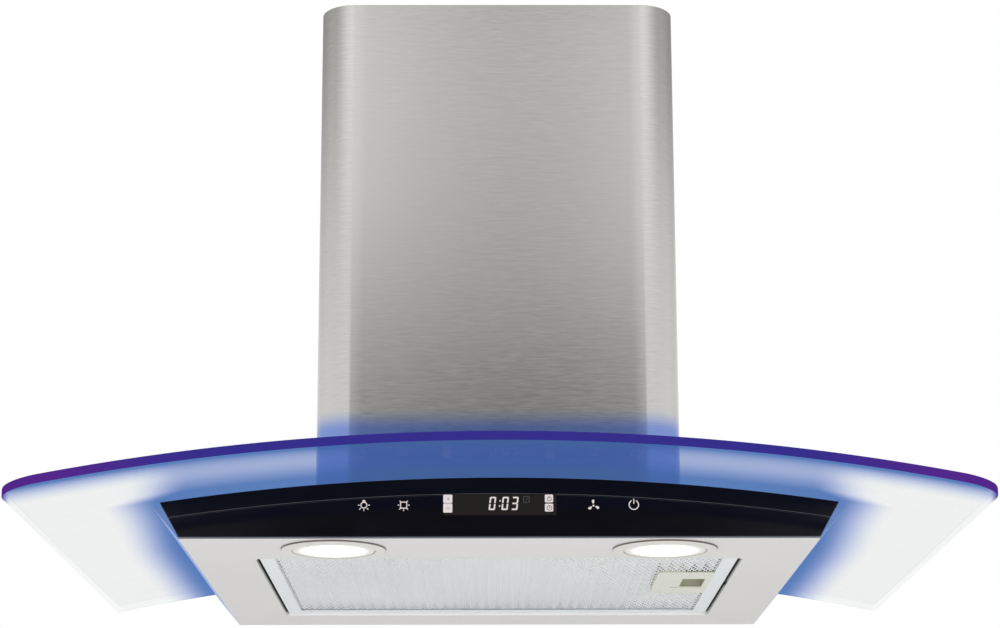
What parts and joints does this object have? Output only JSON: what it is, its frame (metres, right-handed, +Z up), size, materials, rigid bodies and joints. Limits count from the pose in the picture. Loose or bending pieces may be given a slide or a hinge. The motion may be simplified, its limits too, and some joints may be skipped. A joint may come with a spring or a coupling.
{
  "type": "range hood",
  "caption": "Wall range hood: arched clear glass canopy, shallow steel body with touch fascia, lamps and swing-down grease filter, telescopic chimney.",
  "frame": {"origin": "on the wall, midway between the two wall fixing holes of the blower box", "axes": "+X to the cook's right, the front faces -Y, the wall is the plane Y = 0, +Z up"},
  "size_m": [0.6, 0.492, 0.4218],
  "materials": {
    "clear_glass": "gloss",
    "stainless": "satin",
    "pale_steel": "satin",
    "zinc_steel": "satin",
    "black_glass": "gloss",
    "black_plastic": "matte",
    "grey_plastic": "matte",
    "ivory_plastic": "satin",
    "soft_black": "matte",
    "board_green": "satin",
    "light_clear": "gloss",
    "lamp_white": "satin",
    "bright_ring": "polished",
    "aluminium": "satin",
    "spring_steel": "satin",
    "dark_window": "gloss"
  },
  "bodies": {
    "hood": {"glass_canopy": "clear_glass", "glass_gasket": "soft_black", "glass_washers": "soft_black", "glass_screws": "bright_ring", "glass_nuts": "zinc_steel", "body_shell": "pale_steel", "body_top_plate": "stainless", "control_fascia": "black_glass", "fascia_upper_strip": "black_glass", "fascia_carrier": "black_plastic", "carrier_nuts": "zinc_steel", "touch_board": "board_green", "touch_pads": "soft_black", "display_module": "dark_window", "light_guide": "light_clear", "led_strip": "lamp_white", "lamp_bezel_left": "bright_ring", "lamp_bezel_right": "bright_ring", "lamp_lens_left": "lamp_white", "lamp_lens_right": "lamp_white", "lamp_can_left": "aluminium", "lamp_can_right": "aluminium", "lamp_clips": "spring_steel", "latch_striker": "zinc_steel", "blower_box": "zinc_steel", "blower_back_plate": "zinc_steel", "box_screws": "zinc_steel", "scroll_housing_left": "black_plastic", "scroll_housing_right": "black_plastic", "fan_motor": "zinc_steel", "motor_bracket": "zinc_steel", "motor_bushes": "soft_black", "motor_screws": "zinc_steel", "capacitor": "lamp_white", "capacitor_clip": "zinc_steel", "outlet_funnel": "black_plastic", "duct_collar": "black_plastic", "damper_pin": "spring_steel", "control_box": "black_plastic", "control_box_lid": "black_plastic", "power_board": "board_green", "terminal_block": "lamp_white", "cable_gland": "black_plastic", "lower_chimney": "stainless", "chimney_clips": "spring_steel"},
    "filter": {"filter_frame": "aluminium", "filter_mesh_lower": "aluminium", "filter_core": "aluminium", "filter_mesh_upper": "aluminium", "filter_pins": "zinc_steel", "filter_latch_plate": "ivory_plastic", "filter_latch_spring": "spring_steel"},
    "latch": {"filter_latch_slider": "ivory_plastic"},
    "upper_cover": {"upper_chimney": "stainless", "chimney_bracket": "zinc_steel"},
    "wheel": {"impeller": "grey_plastic", "motor_shaft": "spring_steel"},
    "flap_front": {"damper_flap_front": "grey_plastic"},
    "flap_back": {"damper_flap_back": "grey_plastic"}
  },
  "joints": [
    {"name": "filter_swing", "type": "hinge", "parent": "hood", "child": "filter", "pos_m": [-0.157, -0.1815, -0.145], "axis": [0, 1, 0], "range_deg": [0, 75]},
    {"name": "latch_slide", "type": "slide", "parent": "filter", "child": "latch", "axis": [-1, 0, 0], "range_m": [0, 0.005], "stiffness_N_per_m": 300, "springref_m": -0.003, "deforming": ["filter_latch_spring"]},
    {"name": "chimney_extend", "type": "slide", "parent": "hood", "child": "upper_cover", "axis": [0, 0, 1], "range_m": [0, 0.27]},
    {"name": "impeller_spin", "type": "hinge", "parent": "hood", "child": "wheel", "pos_m": [0, -0.113, -0.009], "axis": [1, 0, 0], "continuous": true},
    {"name": "damper_flap_front_swing", "type": "hinge", "parent": "hood", "child": "flap_front", "pos_m": [0, -0.14, 0.128], "axis": [-1, 0, 0], "range_deg": [0, 75]},
    {"name": "damper_flap_back_swing", "type": "hinge", "parent": "hood", "child": "flap_back", "pos_m": [0, -0.14, 0.128], "axis": [1, 0, 0], "range_deg": [0, 75]}
  ]
}
